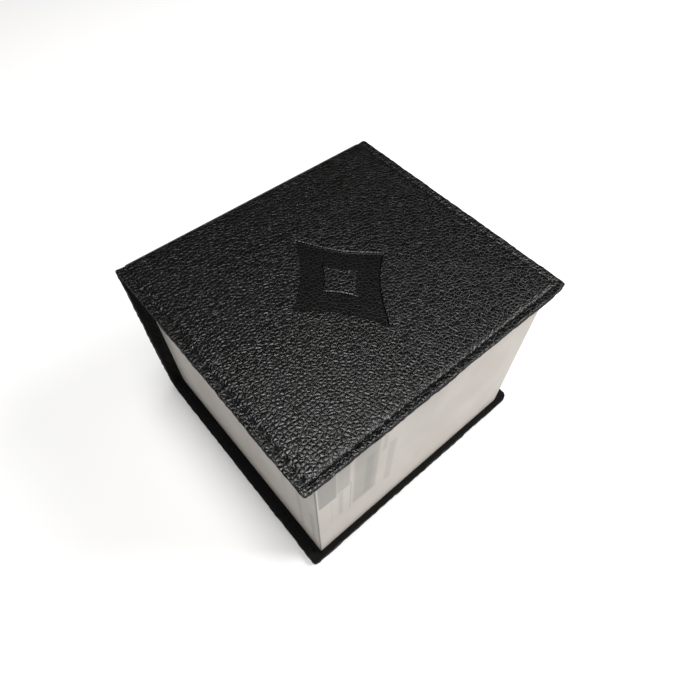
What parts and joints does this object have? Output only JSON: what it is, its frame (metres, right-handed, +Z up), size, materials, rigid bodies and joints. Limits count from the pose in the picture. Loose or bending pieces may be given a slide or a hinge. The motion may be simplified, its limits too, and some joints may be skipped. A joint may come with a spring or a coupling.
{
  "type": "card deck box",
  "caption": "Book-style box for trading cards: a stitched black leather cover with a hinged lid around a white paper-covered tray.",
  "frame": {"origin": "on the underside, in the middle of the cover's outer box", "axes": "+X along the spine, +Y towards the spine, -Y towards the fore-edge that opens, +Z up"},
  "size_m": [0.112, 0.104, 0.0786],
  "materials": {
    "leather": "black pebbled cowhide, semi-matt",
    "lining": "black suede lining, napped",
    "thread": "black bonded sewing thread",
    "greyboard": "raw grey bookbinding board",
    "stay_paper": "kraft paper tape",
    "wrap_paper": "off-white satin paper with faint pale grey printed bars",
    "liner_card": "black matt card",
    "magnet": "nickel-plated sintered magnet"
  },
  "bodies": {
    "lid": {"lid_leather": "leather", "lid_board": "greyboard", "lid_lining": "lining", "lid_needle_thread": "thread", "lid_bobbin_thread": "thread", "lid_magnet_left": "magnet", "lid_magnet_right": "magnet"},
    "case": {"hinge_leather": "leather", "hinge_lining": "lining", "back_leather": "leather", "spine_board": "greyboard", "base_board": "greyboard", "back_lining": "lining", "back_needle_thread": "thread", "back_bobbin_thread": "thread", "tray_floor_board": "greyboard", "tray_front_wall": "greyboard", "tray_rear_wall": "greyboard", "tray_left_wall": "greyboard", "tray_right_wall": "greyboard", "tray_stay_front_left": "stay_paper", "tray_stay_front_right": "stay_paper", "tray_stay_rear_left": "stay_paper", "tray_stay_rear_right": "stay_paper", "tray_wrap": "wrap_paper", "tray_front_liner": "liner_card", "tray_rear_liner": "liner_card", "tray_left_liner": "liner_card", "tray_right_liner": "liner_card", "tray_floor_liner": "liner_card", "tray_magnet_left": "magnet", "tray_magnet_right": "magnet"}
  },
  "joints": [
    {"name": "lid_hinge", "type": "hinge", "parent": "case", "child": "lid", "pos_m": [0, 0.0505, 0.07785], "axis": [-1, 0, 0], "range_deg": [0, 175], "deforming": ["hinge_leather", "hinge_lining"]}
  ]
}
